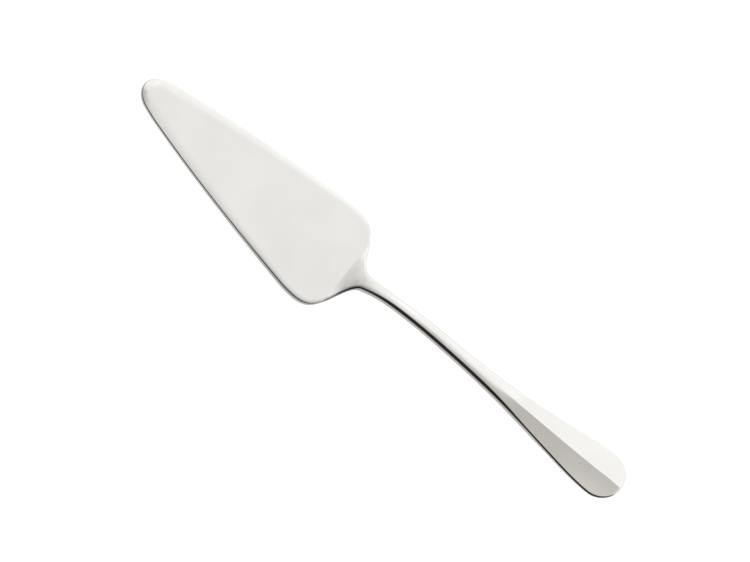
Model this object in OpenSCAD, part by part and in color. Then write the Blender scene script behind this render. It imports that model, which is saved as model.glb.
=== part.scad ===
// Cake server in polished steel: a long tapered blade with a rounded tip and rounded
// shoulders, a flared and cranked neck, a slim shank, and a handle that widens to a
// round end with a ridge along its middle. The blade lies flat on its underside, the
// tip points along -X and the handle rises along +X.

/* [Blade] */
// Length of the flat blade, from its tip to the bend at its heel
blade_length = 105.6; // [90:0.1:125]
// Width of the blade across its shoulders
blade_width = 45; // [36:0.2:54]
// Distance from the tip to the widest place of the blade
widest_at = 92.5; // [82:0.5:96]
// Width that the rounded tip opens to
tip_width = 16.4; // [10:0.2:24]
// Length of the rounding of the tip
tip_round = 11.5; // [7:0.5:15]
// Thickness of the edge at the tip
tip_edge = 1.35; // [0.8:0.05:2]
// Thickness of the edge at the heel
heel_edge = 1.8; // [1:0.05:2.4]
// Height of the blade's flat top over its edge
blade_crown = 0.45; // [0.1:0.05:0.8]
// Width of the soft slope beside the edge, at the tip
tip_slope_width = 5.2; // [2:0.2:8]
// Width of the soft slope beside the edge, at the shoulders
heel_slope_width = 2.4; // [1:0.2:5]
// Radius of the rounded rim of the blade
blade_rim = 0.45; // [0.2:0.05:0.6]

/* [Neck and shank] */
// Length from the bend to the place where the flare has drawn in
flare_length = 7.4; // [5:0.1:10]
// Width of the neck where the flare has drawn in
neck_width = 7.3; // [6:0.1:10]
// Length from the bend to the waist, where the blade and the handle are welded
neck_length = 20.4; // [16:0.1:28]
// Width of the shank at its waist
waist_width = 5.3; // [4.4:0.1:7]
// Thickness of the side of the shank
shank_side = 3.2; // [2:0.1:4]
// Height of the rounded top of the shank over its side
shank_crown = 0.35; // [0.2:0.05:1.2]
// Depth of the rounded underside of the shank under its side
shank_belly = 0.1; // [0.05:0.05:0.8]
// Radius of the rounded sides of the shank
shank_rim = 1.6; // [0.8:0.1:2]

/* [Handle] */
// Length of the handle, from the waist to its end
handle_length = 109; // [95:1:130]
// Width of the handle where it is broadest
handle_width = 19.9; // [15:0.1:26]
// Length of the rounding of the handle's end
end_round = 9.5; // [7:0.5:14]
// Thickness of the handle's edge at its end
handle_edge = 1.3; // [1:0.05:2.5]
// Height of the ridge over the handle's edge
ridge_height = 0.75; // [0.5:0.05:2]
// Height of the ridge over the edge at the very end
ridge_end_height = 0.65; // [0.4:0.05:2]
// Depth of the rounded underside of the handle under its edge
handle_belly = 0.1; // [0.05:0.05:0.6]
// Radius of the rounded rim of the handle
handle_rim = 0.9; // [0.3:0.05:1.2]

/* [Crank] */
// Height of the shank's underside over the table, where the steep part ends
crank_height = 15.2; // [10:0.2:22]
// Length of the steep part, from the bend
crank_length = 44.4; // [36:0.1:52]
// Height of the handle's end over the table
end_height = 28.8; // [22:0.2:38]
// Distance from the middle over which the heel is drawn up with the neck
arch_reach = 14; // [10:0.5:18]

/* [Hidden] */

// Steps of the surfaces
tip_steps = 9;
side_steps = 12;
heel_steps = 20;
neck_steps = 10;
shank_steps = 14;
grip_steps = 18;
end_steps = 10;
top_steps = 8;
under_steps = 4;
rim_steps = 4;

// The underside is made this much too deep, and ground back to a true plane
grind = 0.06;
// How far the grinding block reaches past the blade
overrun = 5;
// Half the step over which the direction of the outline is taken
slope_reach = 0.05;

// Places along the server, measured from the tip
waist_at = blade_length + neck_length;
neck_at = blade_length + flare_length;
crank_at = blade_length + crank_length;
total_length = waist_at + handle_length;
end_centre_at = total_length - end_round;

// Outline knots as shares: along a stretch, of its change in half width, and the
// steepness there over the mean steepness of the stretch
side_shares = [[0, 0, 1.35], [0.921, 0.954, 0.81], [1, 1, 0]];
heel_shares = [[0.317, 0.03, 0.32], [0.585, 0.254, 1.65], [0.756, 0.602, 2.7], [1, 1, 0.21]];
grip_shares = [[0.24, 0.063, 0.15], [0.54, 0.256, 1.19], [0.8, 0.704, 1.88], [1, 1, 0]];
crank_shares = [[0, 0, 1.6], [0.112, 0.192, 1.9], [0.507, 0.706, 0.85], [1, 1, 0.28]];
rise_shares = [[0.353, 0.257, 0.75], [0.706, 0.641, 1.3], [1, 1, 0.65]];
// Where the rounded tip passes into the straight side, as a share of the rounding
side_start_share = 0.87;
// Where the shank starts to turn into the ridged grip, and where it has turned
ridge_start_share = 0.4;
ridge_full_share = 0.64;
// How hollow the two faces beside the ridge are
hollow_share = 0.2;
// How much of the shank's side, and of its rounding, the neck has where the flare has drawn in
neck_side_share = 0.93;
neck_rim_share = 0.7;
// How far the cross lines of the surface lean back from a rounded end, in roundings
lean_share = 0.9;
lean_reach_share = 3;
// How closely the cross lines' points crowd towards the edge
crowd_share = 1.6;

side_start = tip_round * side_start_share;
ridge_start = waist_at + handle_length * ridge_start_share;
ridge_full = waist_at + handle_length * ridge_full_share;

// Knots between two places, from shares of the run and of the change in value
function knots(shares, from_x, to_x, from_v, to_v) =
    let (run = to_x - from_x)
    let (change = to_v - from_v)
    [for (s = shares) [from_x + run * s[0], from_v + change * s[1], s[2] * change / run]];

// Smooth curve through two knots, each a place, a value and a slope
function hermite(x, a, b) =
    let (run = b[0] - a[0])
    let (t = (x - a[0]) / run)
    let (rise = t * t * (3 - 2 * t))
    a[1] * (1 - rise) + b[1] * rise + run * t * (1 - t) * (a[2] * (1 - t) - b[2] * t);

// Value at x of the curve through a list of knots
function track(x, k, i = 0) =
    i >= len(k) - 2 || x < k[i + 1][0] ? hermite(x, k[i], k[i + 1]) : track(x, k, i + 1);

// Smooth step from 0 at a to 1 at b
function step(x, a, b) =
    let (t = max(0, min(1, (x - a) / (b - a))))
    t * t * (3 - 2 * t);

// Soft start from 0 that has levelled out at 1
function ease(t) = 1 - pow(1 - max(0, min(1, t)), 2);

half_width_knots = concat(
    [[0, tip_width / 2, 0]],
    knots(side_shares, side_start, widest_at, tip_width / 2, blade_width / 2),
    knots(heel_shares, widest_at, neck_at, blade_width / 2, neck_width / 2),
    [[waist_at, waist_width / 2, 0]],
    knots(grip_shares, waist_at, end_centre_at, waist_width / 2, handle_width / 2),
    [[total_length, handle_width / 2, 0]]
);
height_knots = concat(
    knots(crank_shares, blade_length, crank_at, 0, crank_height),
    knots(rise_shares, crank_at, total_length, crank_height, end_height)
);
edge_knots = [
    [0, tip_edge, 0],
    [blade_length, heel_edge, 0],
    [neck_at, shank_side * neck_side_share, 0],
    [waist_at, shank_side, 0],
    [ridge_start, shank_side, 0],
    [total_length, handle_edge, 0]
];
crown_knots = [
    [0, blade_crown, 0],
    [blade_length, blade_crown, 0],
    [waist_at, shank_crown, 0],
    [ridge_start, shank_crown, 0],
    [ridge_full, ridge_height, 0],
    [total_length, ridge_end_height, 0]
];
rim_knots = [
    [0, blade_rim, 0],
    [blade_length, blade_rim, 0],
    [neck_at, shank_rim * neck_rim_share, 0],
    [waist_at, shank_rim, 0],
    [ridge_start, shank_rim, 0],
    [ridge_full, handle_rim, 0],
    [total_length, handle_rim, 0]
];
belly_knots = [
    [0, 0, 0],
    [blade_length, 0, 0],
    [waist_at, shank_belly, 0],
    [ridge_full, handle_belly, 0],
    [total_length, handle_belly, 0]
];

// Half width before the ends are rounded, and with the rounded ends
function open_half(x) = track(x, half_width_knots);
function end_factor(x, round) = sqrt(max(0, 1 - pow(1 - min(1, x / round), 2)));
function half_width(x) = open_half(x) * end_factor(x, tip_round) * end_factor(total_length - x, end_round);

// Height of the underside's middle, which is zero under the whole flat blade
function height(x) = x < blade_length ? 0 : track(x, height_knots);

// The heel's outer parts are drawn up less than its middle
function arch(x, y) = 1 - (1 - step(x, blade_length, waist_at)) * pow(min(1, abs(y) / arch_reach), 2);

// How flat, how round and how ridged the top is at x
function flat_part(x) = 1 - step(x, blade_length, waist_at);
function ridge_part(x) = step(x, ridge_start, ridge_full);

// Shape of the top from 1 at its highest to 0 at the edge, at a distance in from the edge
function top_shape(x, y, inset) =
    let (v = min(1, abs(y) / open_half(x)))
    let (slope_width = tip_slope_width + (heel_slope_width - tip_slope_width) * min(1, x / widest_at))
    let (flat = ease(inset / slope_width))
    let (dome = 1 - v * v)
    let (roof = (1 - v) * (1 - hollow_share * v))
    let (bar = dome + (roof - dome) * ridge_part(x))
    bar + (flat - bar) * flat_part(x);

// Heights of the underside, of the edge's middle and of the top at a place
function base_z(x, y) = height(x) * arch(x, y);
function side_z(x, y) = base_z(x, y) + track(x, edge_knots) / 2;
function top_z(x, y, inset) =
    base_z(x, y) + track(x, edge_knots) + track(x, crown_knots) * top_shape(x, y, inset);
function under_z(x, y) =
    let (v = min(1, abs(y) / open_half(x)))
    base_z(x, y) - track(x, belly_knots) * (1 - v * v) - grind * flat_part(x);

// Points of the outline on its +Y side, crowded towards the rounded ends
function tip_x(i) = side_start * (1 - cos(90 * i / tip_steps));
function end_x(i) = end_round * sin(90 * i / end_steps);
function between(a, b, n) = [for (i = [1 : n]) a + (b - a) * i / n];

blade_places = concat(
    [for (i = [0 : tip_steps]) tip_x(i)],
    between(side_start, widest_at, side_steps),
    between(widest_at, neck_at, heel_steps),
    between(neck_at, waist_at, neck_steps)
);
handle_places = concat(
    [waist_at],
    between(waist_at, ridge_start, shank_steps),
    between(ridge_start, end_centre_at, grip_steps),
    [for (i = [1 : end_steps]) end_centre_at + end_x(i)]
);

// Direction in from the edge: along X at a rounded end, along Y at the waist
function inward(x) =
    x <= 0 ? [1, 0] :
    x >= total_length ? [-1, 0] :
    x == waist_at ? [0, -1] :
    let (reach = min(x, total_length - x, slope_reach))
    let (slope = (half_width(x + reach) - half_width(x - reach)) / (2 * reach))
    [slope, -1] / sqrt(1 + slope * slope);

// Place on the middle line that a cross line runs to
function lean(x, round) = lean_share * round * pow(1 - min(1, x / (lean_reach_share * round)), 2);
function middle(x) = x + lean(x, tip_round) - lean(total_length - x, end_round);

// Half of a cross line, from the middle of the underside round the edge to the top
function half_line(x) =
    let (edge = [x, half_width(x)])
    let (into = inward(x))
    let (rim = min(track(x, rim_knots), max(half_width(x), track(x, rim_knots) * abs(into[0]))))
    let (start = edge + into * rim)
    let (centre = [middle(x), 0])
    let (span = centre - start)
    concat(
        [for (i = [under_steps : -1 : 1])
            let (p = start + span * pow(i / under_steps, crowd_share))
            [p[0], p[1], under_z(p[0], p[1])]],
        [for (i = [-rim_steps : rim_steps])
            let (turn = 90 * i / rim_steps)
            let (inset = rim * (1 - cos(turn)))
            let (p = edge + into * inset)
            let (mid = side_z(p[0], p[1]))
            let (limit = i < 0 ? under_z(p[0], p[1]) : top_z(p[0], p[1], inset))
            [p[0], p[1], mid + (limit - mid) * abs(sin(turn))]],
        [for (i = [1 : top_steps])
            let (p = start + span * pow(i / top_steps, crowd_share))
            [p[0], p[1], top_z(p[0], p[1], rim + norm(p - start))]]
    );

// Closed surface over a run of places; a rounded end folds its line onto itself
module shell(places, folded_start, folded_end) {
    half = under_steps + 2 * rim_steps + 1 + top_steps;
    ring = 2 * half - 2;
    last = len(places) - 1;
    lines = [for (x = places) half_line(x)];
    points = [
        for (line = lines)
        for (j = [0 : ring - 1])
        let (p = j < half ? line[j] : line[ring - j])
        [p[0], j < half ? p[1] : -p[1], p[2]]
    ];
    function fold(j) = j < half ? j : ring - j;
    function at(i, j) =
        let (k = j % ring)
        i * ring + (((i == 0 && folded_start) || (i == last && folded_end)) ? fold(k) : k);
    sides = [
        for (i = [0 : last - 1])
        for (j = [0 : ring - 1])
        each [[at(i, j), at(i + 1, j + 1), at(i, j + 1)], [at(i, j), at(i + 1, j), at(i + 1, j + 1)]]
    ];
    start_cap = folded_start ? [] : [[for (j = [0 : ring - 1]) j]];
    end_cap = folded_end ? [] : [[for (j = [ring - 1 : -1 : 0]) last * ring + j]];
    translate([-total_length / 2, 0, 0])
        polyhedron(points = points, faces = concat(sides, start_cap, end_cap), convexity = 6);
}

// Stamped blade with its flared neck, ground flat underneath
module blade() {
    color("gainsboro")
        difference() {
            shell(blade_places, true, false);
            translate([-total_length / 2 - overrun, -blade_width / 2 - overrun, -overrun])
                cube([waist_at + 2 * overrun, blade_width + 2 * overrun, overrun]);
        }
}

// Forged handle: the slim shank and the ridged grip with its round end
module handle() {
    color("gainsboro")
        shell(handle_places, false, true);
}

blade();
handle();
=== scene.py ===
"""Looks of the cake server: polished steel blade and ridged handle on a white studio floor."""

import math

import bpy
from mathutils import Matrix, Vector


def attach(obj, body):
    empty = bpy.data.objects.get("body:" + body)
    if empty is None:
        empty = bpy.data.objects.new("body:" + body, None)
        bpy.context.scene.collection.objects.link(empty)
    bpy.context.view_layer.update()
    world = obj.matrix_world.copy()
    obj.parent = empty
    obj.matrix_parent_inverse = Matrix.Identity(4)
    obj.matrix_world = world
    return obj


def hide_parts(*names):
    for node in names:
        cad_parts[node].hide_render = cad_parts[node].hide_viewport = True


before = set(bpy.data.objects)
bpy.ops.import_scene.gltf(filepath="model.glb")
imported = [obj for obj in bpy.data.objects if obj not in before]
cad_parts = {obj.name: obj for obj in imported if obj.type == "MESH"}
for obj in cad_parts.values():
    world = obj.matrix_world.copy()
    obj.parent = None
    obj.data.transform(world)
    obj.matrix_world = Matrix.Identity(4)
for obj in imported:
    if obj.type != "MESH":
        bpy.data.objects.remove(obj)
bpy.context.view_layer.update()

MM = 0.001

# Driving sizes of the server in millimetres, the same as those of the solids
BLADE_LENGTH = 105.6
BLADE_WIDTH = 45
WIDEST_AT = 92.5
TIP_WIDTH = 16.4
TIP_ROUND = 11.5
TIP_EDGE = 1.35
HEEL_EDGE = 1.8
BLADE_CROWN = 0.45
TIP_SLOPE_WIDTH = 5.2
HEEL_SLOPE_WIDTH = 2.4
BLADE_RIM = 0.45
FLARE_LENGTH = 7.4
NECK_WIDTH = 7.3
NECK_LENGTH = 20.4
WAIST_WIDTH = 5.3
SHANK_SIDE = 3.2
SHANK_CROWN = 0.35
SHANK_BELLY = 0.1
SHANK_RIM = 1.6
HANDLE_LENGTH = 109
HANDLE_WIDTH = 19.9
END_ROUND = 9.5
HANDLE_EDGE = 1.3
RIDGE_HEIGHT = 0.75
RIDGE_END_HEIGHT = 0.65
HANDLE_BELLY = 0.1
HANDLE_RIM = 0.9
CRANK_HEIGHT = 15.2
CRANK_LENGTH = 44.4
END_HEIGHT = 28.8
ARCH_REACH = 14

# Shares that shape the outlines, as in the solids but for the first slope of the crank
SIDE_SHARES = [(0, 0, 1.35), (0.921, 0.954, 0.81), (1, 1, 0)]
HEEL_SHARES = [(0.317, 0.03, 0.32), (0.585, 0.254, 1.65), (0.756, 0.602, 2.7), (1, 1, 0.21)]
GRIP_SHARES = [(0.24, 0.063, 0.15), (0.54, 0.256, 1.19), (0.8, 0.704, 1.88), (1, 1, 0)]
CRANK_SHARES = [(0, 0, 1.75), (0.112, 0.192, 1.9), (0.507, 0.706, 0.85), (1, 1, 0.28)]
RISE_SHARES = [(0.353, 0.257, 0.75), (0.706, 0.641, 1.3), (1, 1, 0.65)]
SIDE_START_SHARE = 0.87
RIDGE_START_SHARE = 0.4
RIDGE_FULL_SHARE = 0.64
HOLLOW_SHARE = 0.2
NECK_SIDE_SHARE = 0.93
NECK_RIM_SHARE = 0.7
LEAN_SHARE = 0.9
LEAN_REACH_SHARE = 3
CROWD_SHARE = 1.6

# The fold at the bend is softer here than in the solids towards both sides: the arch that holds down
# the heel's outer parts starts with this share of itself, and is whole after this length
BEND_ARCH_SHARE = 0.35
ARCH_START = 3

# Steps of the smooth surfaces
TIP_STEPS = 36
SIDE_STEPS = 70
HEEL_STEPS = 48
FLARE_STEPS = 36
NECK_STEPS = 44
SHANK_STEPS = 50
GRIP_STEPS = 70
END_STEPS = 40
TOP_STEPS = 36
UNDER_STEPS = 20
RIM_STEPS = 10
# Halvings that find the cross line along the bend
HALVINGS = 40
# Reach in millimetres over which the direction of the outline is measured
SLOPE_REACH = 0.05

# Camera: direction and roll in degrees, and the scale of the photograph's frame;
# its lens, its sensor and the point that it looks at are in metres
VIEW_AZIMUTH = -22.54
VIEW_ELEVATION = 64.34
X_BELOW_LEVEL = 43.3
LENS = 1.0
SENSOR = 0.036
IMAGE_WIDTH_PX = 750
PX_PER_MM = 2.6455
AIM = Vector((-0.00277, 0.00184, 0.01))
NEAR_CLIP_SHARE = 0.01
FAR_CLIP_SHARE = 10

WAIST_AT = BLADE_LENGTH + NECK_LENGTH
NECK_AT = BLADE_LENGTH + FLARE_LENGTH
CRANK_AT = BLADE_LENGTH + CRANK_LENGTH
TOTAL_LENGTH = WAIST_AT + HANDLE_LENGTH
END_CENTRE_AT = TOTAL_LENGTH - END_ROUND
SIDE_START = TIP_ROUND * SIDE_START_SHARE
RIDGE_START = WAIST_AT + HANDLE_LENGTH * RIDGE_START_SHARE
RIDGE_FULL = WAIST_AT + HANDLE_LENGTH * RIDGE_FULL_SHARE


def knots(shares, from_x, to_x, from_v, to_v):
    """Knots between two places: each a place, a value and a slope."""
    run, change = to_x - from_x, to_v - from_v
    return [(from_x + run * a, from_v + change * b, s * change / run) for a, b, s in shares]


def track(x, points):
    """Value at x of the smooth curve through a list of knots."""
    i = 0
    while i < len(points) - 2 and x >= points[i + 1][0]:
        i += 1
    (xa, va, sa), (xb, vb, sb) = points[i], points[i + 1]
    run = xb - xa
    t = (x - xa) / run
    rise = t * t * (3 - 2 * t)
    return va * (1 - rise) + vb * rise + run * t * (1 - t) * (sa * (1 - t) - sb * t)


def clamp(t):
    return max(0.0, min(1.0, t))


def step(x, a, b):
    """Smooth step from 0 at a to 1 at b."""
    t = clamp((x - a) / (b - a))
    return t * t * (3 - 2 * t)


def ease(t):
    """Soft start from 0 that has levelled out at 1."""
    return 1 - (1 - clamp(t)) ** 2


HALF_WIDTH = (
    [(0, TIP_WIDTH / 2, 0)]
    + knots(SIDE_SHARES, SIDE_START, WIDEST_AT, TIP_WIDTH / 2, BLADE_WIDTH / 2)
    + knots(HEEL_SHARES, WIDEST_AT, NECK_AT, BLADE_WIDTH / 2, NECK_WIDTH / 2)
    + [(WAIST_AT, WAIST_WIDTH / 2, 0)]
    + knots(GRIP_SHARES, WAIST_AT, END_CENTRE_AT, WAIST_WIDTH / 2, HANDLE_WIDTH / 2)
    + [(TOTAL_LENGTH, HANDLE_WIDTH / 2, 0)]
)
HEIGHT = (
    knots(CRANK_SHARES, BLADE_LENGTH, CRANK_AT, 0, CRANK_HEIGHT)
    + knots(RISE_SHARES, CRANK_AT, TOTAL_LENGTH, CRANK_HEIGHT, END_HEIGHT)
)


def along(*places):
    """Knots of a value that changes smoothly from place to place."""
    return [(x, v, 0) for x, v in places]


EDGE = along(
    (0, TIP_EDGE),
    (BLADE_LENGTH, HEEL_EDGE),
    (NECK_AT, SHANK_SIDE * NECK_SIDE_SHARE),
    (WAIST_AT, SHANK_SIDE),
    (RIDGE_START, SHANK_SIDE),
    (TOTAL_LENGTH, HANDLE_EDGE),
)
CROWN = along(
    (0, BLADE_CROWN),
    (BLADE_LENGTH, BLADE_CROWN),
    (WAIST_AT, SHANK_CROWN),
    (RIDGE_START, SHANK_CROWN),
    (RIDGE_FULL, RIDGE_HEIGHT),
    (TOTAL_LENGTH, RIDGE_END_HEIGHT),
)
RIM = along(
    (0, BLADE_RIM),
    (BLADE_LENGTH, BLADE_RIM),
    (NECK_AT, SHANK_RIM * NECK_RIM_SHARE),
    (WAIST_AT, SHANK_RIM),
    (RIDGE_START, SHANK_RIM),
    (RIDGE_FULL, HANDLE_RIM),
    (TOTAL_LENGTH, HANDLE_RIM),
)
BELLY = along(
    (0, 0),
    (BLADE_LENGTH, 0),
    (WAIST_AT, SHANK_BELLY),
    (RIDGE_FULL, HANDLE_BELLY),
    (TOTAL_LENGTH, HANDLE_BELLY),
)


def open_half(x):
    """Half width before the ends are rounded."""
    return track(x, HALF_WIDTH)


def end_factor(x, rounding):
    return math.sqrt(max(0.0, 1 - (1 - min(1.0, x / rounding)) ** 2))


def half_width(x):
    return open_half(x) * end_factor(x, TIP_ROUND) * end_factor(TOTAL_LENGTH - x, END_ROUND)


def flat_part(x):
    return 1 - step(x, BLADE_LENGTH, WAIST_AT)


def base_z(x, y):
    """Height of the underside: zero under the blade, drawn up less at the heel's outer parts."""
    if x < BLADE_LENGTH:
        return 0.0
    grown = step(x, BLADE_LENGTH, BLADE_LENGTH + ARCH_START)
    drawn = flat_part(x) * (BEND_ARCH_SHARE + (1 - BEND_ARCH_SHARE) * grown)
    arch = 1 - drawn * min(1.0, abs(y) / ARCH_REACH) ** 2
    return track(x, HEIGHT) * arch


def top_shape(x, y, inset):
    """Shape of the top, from 1 at its highest to 0 at the edge."""
    v = min(1.0, abs(y) / open_half(x))
    slope_width = TIP_SLOPE_WIDTH + (HEEL_SLOPE_WIDTH - TIP_SLOPE_WIDTH) * min(1.0, x / WIDEST_AT)
    flat = ease(inset / slope_width)
    dome = 1 - v * v
    roof = (1 - v) * (1 - HOLLOW_SHARE * v)
    bar = dome + (roof - dome) * step(x, RIDGE_START, RIDGE_FULL)
    return bar + (flat - bar) * flat_part(x)


def top_z(x, y, inset):
    return base_z(x, y) + track(x, EDGE) + track(x, CROWN) * top_shape(x, y, inset)


def under_z(x, y):
    v = min(1.0, abs(y) / open_half(x))
    return base_z(x, y) - track(x, BELLY) * (1 - v * v)


def inward(x):
    """Direction in from the edge: along X at a rounded end, along Y at the waist."""
    if x <= 0:
        return Vector((1, 0))
    if x >= TOTAL_LENGTH:
        return Vector((-1, 0))
    if x == WAIST_AT:
        return Vector((0, -1))
    reach = min(x, TOTAL_LENGTH - x, SLOPE_REACH)
    slope = (half_width(x + reach) - half_width(x - reach)) / (2 * reach)
    return Vector((slope, -1)).normalized()


def rim_reach(x):
    """Width of the rounded rim, less where the outline is narrower."""
    return min(track(x, RIM), max(half_width(x), track(x, RIM) * abs(inward(x).x)))


def middle(x):
    """Place on the middle line that a cross line runs to, straight across at the heel and neck."""
    if WIDEST_AT < x < WAIST_AT:
        return x + inward(x).x * rim_reach(x)

    def lean(distance, rounding):
        return LEAN_SHARE * rounding * (1 - min(1.0, distance / (LEAN_REACH_SHARE * rounding))) ** 2
    return x + lean(x, TIP_ROUND) - lean(TOTAL_LENGTH - x, END_ROUND)


def half_line(x):
    """Half of a cross line, from the middle of the underside round the edge to the top."""
    edge = Vector((x, half_width(x)))
    into = inward(x)
    rim = rim_reach(x)
    start = edge + into * rim
    span = Vector((middle(x), 0)) - start
    line = []
    for i in range(UNDER_STEPS, 0, -1):
        p = start + span * (i / UNDER_STEPS) ** CROWD_SHARE
        line.append((p.x, p.y, under_z(p.x, p.y)))
    for i in range(-RIM_STEPS, RIM_STEPS + 1):
        turn = math.pi / 2 * i / RIM_STEPS
        inset = rim * (1 - math.cos(turn))
        p = edge + into * inset
        side = base_z(p.x, p.y) + track(p.x, EDGE) / 2
        limit = under_z(p.x, p.y) if i < 0 else top_z(p.x, p.y, inset)
        line.append((p.x, p.y, side + (limit - side) * abs(math.sin(turn))))
    for i in range(1, TOP_STEPS + 1):
        p = start + span * (i / TOP_STEPS) ** CROWD_SHARE
        line.append((p.x, p.y, top_z(p.x, p.y, rim + (p - start).length)))
    return line


def shell(name, places, folded_start, folded_end):
    """Closed quad mesh over a run of places; a rounded end folds its line onto itself."""
    half = UNDER_STEPS + 2 * RIM_STEPS + 1 + TOP_STEPS
    ring = 2 * half - 2
    last = len(places) - 1
    index = {}
    points = []

    def folded(i):
        return (i == 0 and folded_start) or (i == last and folded_end)

    def at(i, j):
        j %= ring
        return index[(i, min(j, ring - j) if folded(i) else j)]

    for i, x in enumerate(places):
        line = half_line(x)
        for j in range(half if folded(i) else ring):
            px, py, pz = line[min(j, ring - j)]
            index[(i, j)] = len(points)
            points.append(((px - TOTAL_LENGTH / 2) * MM, (py if j < half else -py) * MM, pz * MM))
    faces = []
    for i in range(last):
        for j in range(ring):
            face = [at(i, j), at(i, j + 1), at(i + 1, j + 1), at(i + 1, j)]
            if len(set(face)) > 2:
                faces.append(face)
    if not folded_start:
        faces.append([at(0, j) for j in range(ring - 1, -1, -1)])
    if not folded_end:
        faces.append([at(last, j) for j in range(ring)])
    mesh = bpy.data.meshes.new(name)
    mesh.from_pydata(points, [], faces)
    mesh.update()
    piece = bpy.data.objects.new(name, mesh)
    bpy.context.scene.collection.objects.link(piece)
    mesh.polygons.foreach_set("use_smooth", [len(face) <= 4 for face in faces])
    # The cross lines along the bend and at the waist keep their edges sharp
    for i, x in enumerate(places):
        if x in SHARP_PLACES:
            line = {at(i, j) for j in range(ring)}
            for edge in mesh.edges:
                edge.use_edge_sharp = edge.use_edge_sharp or set(edge.vertices) <= line
    return piece


def between(a, b, n):
    return [a + (b - a) * i / n for i in range(1, n + 1)]


def bend_place():
    """Place of the cross line that lies along the bend."""
    low, high = WIDEST_AT, NECK_AT
    for _ in range(HALVINGS):
        place = (low + high) / 2
        if middle(place) < BLADE_LENGTH:
            low = place
        else:
            high = place
    return high


BEND_PLACE = bend_place()
SHARP_PLACES = (BEND_PLACE, WAIST_AT)


def blade_places():
    tip = [SIDE_START * (1 - math.cos(math.pi / 2 * i / TIP_STEPS)) for i in range(TIP_STEPS + 1)]
    return (
        tip
        + between(SIDE_START, WIDEST_AT, SIDE_STEPS)
        + between(WIDEST_AT, BEND_PLACE, HEEL_STEPS)
        + between(BEND_PLACE, NECK_AT, FLARE_STEPS)
        + between(NECK_AT, WAIST_AT, NECK_STEPS)
    )


def handle_places():
    turns = between(0, math.pi / 2, END_STEPS)
    end = [END_CENTRE_AT + END_ROUND * math.sin(turn) for turn in turns]
    return (
        [WAIST_AT]
        + between(WAIST_AT, RIDGE_START, SHANK_STEPS)
        + between(RIDGE_START, END_CENTRE_AT, GRIP_STEPS)
        + end
    )


def add_node(tree, kind, **values):
    """New shader node, with its inputs set by name and its other settings by attribute."""
    made = tree.nodes.new(kind)
    for key, value in values.items():
        name = key.replace("_", " ")
        if name in made.inputs:
            made.inputs[name].default_value = value
        else:
            setattr(made, key, value)
    return made


def noise(tree, scale, detail, roughness):
    return add_node(tree, "ShaderNodeTexNoise", Scale=scale, Detail=detail, Roughness=roughness)


def new_material(name):
    material = bpy.data.materials.new(name)
    material.use_nodes = True
    tree = material.node_tree
    tree.nodes.clear()
    output = tree.nodes.new("ShaderNodeOutputMaterial")
    return material, tree, output


WHITE = (1, 1, 1, 1)
# Sockets for colours of a mix node
FIRST_COLOUR = 6
SECOND_COLOUR = 7
MIXED_COLOUR = 2

# Steel: two tones, soft clouds of roughness, waviness and hairlines; depths are in metres
STEEL_COLOUR = (0.86, 0.852, 0.82, 1)
STEEL_SHADE = (0.82, 0.812, 0.78, 1)
CLOUD_SCALE = 38.0
CLOUD_DETAIL = 3.0
CLOUD_ROUGHNESS = 0.55
CLOUD_LOW = 0.35
CLOUD_HIGH = 0.65
ROUGHNESS_LOW = 0.08
ROUGHNESS_HIGH = 0.14
WAVE_SCALE = 26.0
WAVE_DETAIL = 1.0
WAVE_ROUGHNESS = 0.4
WAVE_STRENGTH = 0.25
WAVE_DEPTH = 0.00008
HAIR_STRETCH = (120.0, 2600.0, 2600.0)
HAIR_DETAIL = 2.0
HAIR_ROUGHNESS = 0.5
HAIR_STRENGTH = 0.12
HAIR_DEPTH = 0.00001


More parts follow.
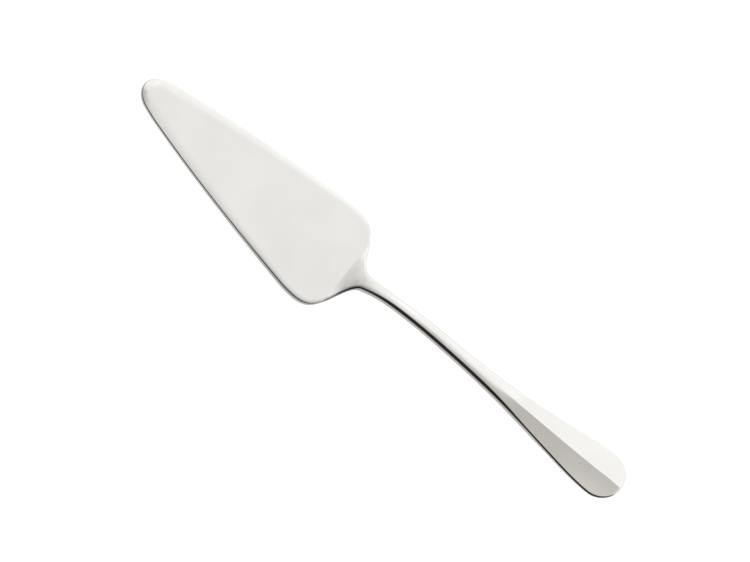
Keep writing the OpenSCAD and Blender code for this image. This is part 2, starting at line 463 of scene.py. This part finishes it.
def polished_steel():
    """Stainless steel with a mirror polish: faint waviness, cloudy roughness and fine hairlines."""
    material, tree, output = new_material("polished_steel")
    link = tree.links.new
    bsdf = add_node(tree, "ShaderNodeBsdfPrincipled", Metallic=1.0)
    place = add_node(tree, "ShaderNodeTexCoord")
    cloud = noise(tree, CLOUD_SCALE, CLOUD_DETAIL, CLOUD_ROUGHNESS)
    tone = add_node(tree, "ShaderNodeMapRange")
    tone.inputs["From Min"].default_value = CLOUD_LOW
    tone.inputs["From Max"].default_value = CLOUD_HIGH
    colour = add_node(tree, "ShaderNodeMix", data_type="RGBA")
    colour.inputs[FIRST_COLOUR].default_value = STEEL_SHADE
    colour.inputs[SECOND_COLOUR].default_value = STEEL_COLOUR
    gloss = add_node(tree, "ShaderNodeMapRange")
    gloss.inputs["To Min"].default_value = ROUGHNESS_LOW
    gloss.inputs["To Max"].default_value = ROUGHNESS_HIGH
    stretch = add_node(tree, "ShaderNodeMapping")
    stretch.inputs["Scale"].default_value = HAIR_STRETCH
    hairlines = noise(tree, 1.0, HAIR_DETAIL, HAIR_ROUGHNESS)
    wave = noise(tree, WAVE_SCALE, WAVE_DETAIL, WAVE_ROUGHNESS)
    fine = add_node(tree, "ShaderNodeBump", Strength=HAIR_STRENGTH, Distance=HAIR_DEPTH)
    broad = add_node(tree, "ShaderNodeBump", Strength=WAVE_STRENGTH, Distance=WAVE_DEPTH)
    link(place.outputs["Object"], cloud.inputs["Vector"])
    link(place.outputs["Object"], wave.inputs["Vector"])
    link(place.outputs["Object"], stretch.inputs["Vector"])
    link(stretch.outputs["Vector"], hairlines.inputs["Vector"])
    link(cloud.outputs["Fac"], tone.inputs["Value"])
    link(tone.outputs["Result"], colour.inputs[0])
    link(colour.outputs[MIXED_COLOUR], bsdf.inputs["Base Color"])
    link(cloud.outputs["Fac"], gloss.inputs["Value"])
    link(gloss.outputs["Result"], bsdf.inputs["Roughness"])
    link(wave.outputs["Fac"], broad.inputs["Height"])
    link(broad.outputs["Normal"], fine.inputs["Normal"])
    link(hairlines.outputs["Fac"], fine.inputs["Height"])
    link(fine.outputs["Normal"], bsdf.inputs["Normal"])
    link(bsdf.outputs["BSDF"], output.inputs["Surface"])
    return material


# Floor: its paint, what tops it up to white where it is seen, and its glow in mirrors,
# which grows from the near side to the far side; sizes and places are in metres
FLOOR_PAINT = (0.6, 0.6, 0.6, 1)
FLOOR_GLOW = 0.88
NEAR_GLOW = 0.3
FAR_GLOW = 0.58
GLOW_FROM = 0.0
GLOW_TO = 0.02
FLOOR_SIZE = 6.0
FLOOR_DROP = 0.0002


def studio_floor():
    """White floor that keeps the object's shadow and is topped up to white where it is seen."""
    material, tree, output = new_material("studio_floor")
    link = tree.links.new
    paint = add_node(tree, "ShaderNodeBsdfDiffuse", Color=FLOOR_PAINT)
    glow = add_node(tree, "ShaderNodeEmission", Color=WHITE)
    seen = add_node(tree, "ShaderNodeLightPath")
    amount = add_node(tree, "ShaderNodeMath", operation="MULTIPLY_ADD")
    amount.inputs[1].default_value = FLOOR_GLOW
    place = add_node(tree, "ShaderNodeTexCoord")
    parts = add_node(tree, "ShaderNodeSeparateXYZ")
    across = add_node(tree, "ShaderNodeMapRange")
    across.inputs["From Min"].default_value = GLOW_FROM
    across.inputs["From Max"].default_value = GLOW_TO
    across.inputs["To Min"].default_value = NEAR_GLOW
    across.inputs["To Max"].default_value = FAR_GLOW
    mirrored = add_node(tree, "ShaderNodeMath", operation="MULTIPLY")
    both = add_node(tree, "ShaderNodeAddShader")
    link(seen.outputs["Is Camera Ray"], amount.inputs[0])
    link(place.outputs["Object"], parts.inputs[0])
    link(parts.outputs["Y"], across.inputs["Value"])
    link(seen.outputs["Is Glossy Ray"], mirrored.inputs[0])
    link(across.outputs["Result"], mirrored.inputs[1])
    link(mirrored.outputs[0], amount.inputs[2])
    link(amount.outputs[0], glow.inputs["Strength"])
    link(paint.outputs[0], both.inputs[0])
    link(glow.outputs[0], both.inputs[1])
    link(both.outputs[0], output.inputs["Surface"])
    return material


def floor():
    """Large floor just under the blade."""
    mesh = bpy.data.meshes.new("studio_floor")
    reach = FLOOR_SIZE / 2
    corners = [
        (x * reach, y * reach, -FLOOR_DROP) for x, y in ((-1, -1), (1, -1), (1, 1), (-1, 1))
    ]
    mesh.from_pydata(corners, [], [(0, 1, 2, 3)])
    plane = bpy.data.objects.new("studio_floor", mesh)
    bpy.context.scene.collection.objects.link(plane)
    mesh.materials.append(studio_floor())


# Brightness of the studio by the angle over the server, in degrees from the near horizon over
# the top to the far one. Each list is the part of the studio that one part of the server mirrors:
# the blade, the shank, the grip with its grey card, the climbing neck, and what lies far towards
# the handle's side, which differs from the blade's part by the near side alone.
HALF_TURN = 180
SKY_ANGLES = [8, 20, 66, 80, 86, 92, 99, 102, 106, 107, 110, 115, 118, 121, 125, 128, 136, 149, 180]
BLADE_LEVELS = [
    .2, .02, .02, .06, .40, .74, .86, .88, .91, .9175,
    .94, .98, 1.0, 1.03, 1.065, 1.09, 1.13, 1.137, 1.15,
]
SHANK_LEVELS = [
    .2, .02, .02, .06, .30, .56, .62, .66, .84, .87,
    .93, .99, 1.12, 1.18, 1.2, 1.12, 1.15, 1.17, 1.15,
]
CARD_LEVELS = [
    .2, .02, .02, .06, .30, .53, .57, .585, .592, .68,
    .97, 1.06, 1.1, 1.05, 1.07, 1.05, 1.12, 1.18, 1.18,
]
NECK_LEVELS = [
    .3, .42, .38, .16, .14, .32, .50, .64, .76, .78,
    .82, .88, 1.0, 1.08, 1.12, 1.18, 1.22, 1.45, 1.6,
]
END_LEVELS = [.2, .14, .13, .15] + BLADE_LEVELS[4:]
# Where these parts begin, by the way towards the tip's side (-1) or the handle's side (1)
SHANK_FROM = 0.07
SHANK_TO = 0.0
NECK_FROM = -0.62
NECK_TO = -0.74
END_FROM = 0.5
END_TO = 0.64
CARD_PLACES = [-1.0, -0.29, -0.22, -0.04, -0.01, 1.0]
CARD_SHARES = [0.0, 0.0, 1.0, 1.0, 0.0, 0.0]
# The card is a warm grey up to the angle where the white behind it begins
CARD_TINT = (1.0, 0.953, 0.93, 1)
WARM_ANGLES = [0, 104, 112, 180]
WARM_SHARES = [1.0, 1.0, 0.0, 0.0]
# Share of all that brightness by the same way
SIDE_PLACES = [-1.0, -0.9, -0.86, -0.8, -0.7, -0.6, -0.5, -0.4, -0.3, 0.0, 0.1, 0.35, 1.0]
SIDE_LEVELS = [0.3, 0.37, 0.59, 0.62, 0.74, 0.89, 0.94, 0.96, 1.03, 1.00, 1.00, 0.92, 0.90]


def ramp(tree, value, places, levels, low, high):
    """Colour ramp from a list of places between low and high."""
    link = tree.links.new
    share = add_node(tree, "ShaderNodeMapRange")
    share.inputs["From Min"].default_value = low
    share.inputs["From Max"].default_value = high
    made = add_node(tree, "ShaderNodeValToRGB")
    stops = made.color_ramp.elements
    for place in places[1:-1]:
        stops.new((place - low) / (high - low))
    for stop, place, level in zip(stops, places, levels):
        stop.position = (place - low) / (high - low)
        stop.color = (level, level, level, 1)
    link(value, share.inputs["Value"])
    link(share.outputs["Result"], made.inputs[0])
    return made.outputs["Color"]


def smooth_share(tree, value, start, stop):
    """Share that goes smoothly from 0 where the value is start to 1 where it is stop."""
    made = add_node(tree, "ShaderNodeMapRange", interpolation_type="SMOOTHSTEP")
    made.inputs["From Min"].default_value = start
    made.inputs["From Max"].default_value = stop
    tree.links.new(value, made.inputs["Value"])
    return made.outputs["Result"]


def blend(tree, share, first, second):
    """Colour that goes from the first to the second with the share."""
    made = add_node(tree, "ShaderNodeMix", data_type="RGBA")
    tree.links.new(share, made.inputs[0])
    tree.links.new(first, made.inputs[FIRST_COLOUR])
    tree.links.new(second, made.inputs[SECOND_COLOUR])
    return made.outputs[MIXED_COLOUR]


def studio_world():
    """Soft studio: white where it is seen directly, with a dark card on the near side for gloss."""
    world = bpy.data.worlds.new("studio")
    bpy.context.scene.world = world
    world.use_nodes = True
    tree = world.node_tree
    tree.nodes.clear()
    link = tree.links.new
    output = tree.nodes.new("ShaderNodeOutputWorld")
    place = add_node(tree, "ShaderNodeTexCoord")
    parts = add_node(tree, "ShaderNodeSeparateXYZ")
    # The near horizon lies along -Y, and the angle over the server starts there
    near = add_node(tree, "ShaderNodeMath", operation="MULTIPLY")
    near.inputs[1].default_value = -1.0
    angle = add_node(tree, "ShaderNodeMath", operation="ARCTAN2")
    degrees = add_node(tree, "ShaderNodeMath", operation="DEGREES")
    link(place.outputs["Generated"], parts.inputs[0])
    link(parts.outputs["Y"], near.inputs[0])
    link(parts.outputs["Z"], angle.inputs[0])
    link(near.outputs[0], angle.inputs[1])
    link(angle.outputs[0], degrees.inputs[0])
    side, over = parts.outputs["X"], degrees.outputs[0]

    def sky(levels):
        return ramp(tree, over, SKY_ANGLES, levels, 0, HALF_TURN)

    card = ramp(tree, side, CARD_PLACES, CARD_SHARES, -1, 1)
    shank = smooth_share(tree, side, SHANK_FROM, SHANK_TO)
    neck = smooth_share(tree, side, NECK_FROM, NECK_TO)
    end = smooth_share(tree, side, END_FROM, END_TO)
    light = blend(tree, shank, sky(BLADE_LEVELS), sky(SHANK_LEVELS))
    light = blend(tree, card, light, sky(CARD_LEVELS))
    light = blend(tree, neck, light, sky(NECK_LEVELS))
    light = blend(tree, end, light, sky(END_LEVELS))
    level = add_node(tree, "ShaderNodeMath", operation="MULTIPLY")
    link(light, level.inputs[0])
    link(ramp(tree, side, SIDE_PLACES, SIDE_LEVELS, -1, 1), level.inputs[1])
    warm = add_node(tree, "ShaderNodeMath", operation="MULTIPLY")
    link(card, warm.inputs[0])
    link(ramp(tree, over, WARM_ANGLES, WARM_SHARES, 0, HALF_TURN), warm.inputs[1])
    tint = add_node(tree, "ShaderNodeMix", data_type="RGBA")
    tint.inputs[FIRST_COLOUR].default_value = WHITE
    tint.inputs[SECOND_COLOUR].default_value = CARD_TINT
    link(warm.outputs[0], tint.inputs[0])
    mirrored = add_node(tree, "ShaderNodeBackground")
    link(tint.outputs[MIXED_COLOUR], mirrored.inputs["Color"])
    link(level.outputs[0], mirrored.inputs["Strength"])
    plain = add_node(tree, "ShaderNodeBackground", Color=WHITE, Strength=1.0)
    seen = add_node(tree, "ShaderNodeLightPath")
    mix = add_node(tree, "ShaderNodeMixShader")
    link(seen.outputs["Is Camera Ray"], mix.inputs[0])
    link(mirrored.outputs[0], mix.inputs[1])
    link(plain.outputs[0], mix.inputs[2])
    link(mix.outputs[0], output.inputs["Surface"])


def camera():
    """Long lens from above the tip's side, turned so that the handle runs down to the right."""
    azimuth, elevation = math.radians(VIEW_AZIMUTH), math.radians(VIEW_ELEVATION)
    back = Vector((
        math.sin(azimuth) * math.cos(elevation),
        -math.cos(azimuth) * math.cos(elevation),
        math.sin(elevation),
    ))
    length_way = Vector((1, 0, 0)) - back * back.x
    length_way.normalize()
    width_way = back.cross(length_way)
    roll = math.radians(X_BELOW_LEVEL)
    right = length_way * math.cos(roll) + width_way * math.sin(roll)
    up = width_way * math.cos(roll) - length_way * math.sin(roll)
    distance = LENS / SENSOR * IMAGE_WIDTH_PX / PX_PER_MM * MM
    data = bpy.data.cameras.new("camera")
    data.type = "PERSP"
    data.lens = LENS / MM
    data.sensor_width = SENSOR / MM
    made = bpy.data.objects.new("camera", data)
    turned = Matrix((right, up, back)).transposed().to_4x4()
    made.matrix_world = Matrix.Translation(AIM + back * distance) @ turned
    data.clip_start = distance * NEAR_CLIP_SHARE
    data.clip_end = distance * FAR_CLIP_SHARE
    bpy.context.scene.collection.objects.link(made)
    bpy.context.scene.camera = made


def dress(piece, node, material):
    piece.data.materials.append(material)
    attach(piece, "root")
    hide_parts(node)


bpy.context.scene.view_settings.view_transform = "Standard"
steel = polished_steel()
dress(shell("polished_blade", blade_places(), True, False), "blade", steel)
dress(shell("polished_handle", handle_places(), False, True), "handle", steel)
floor()
studio_world()
camera()
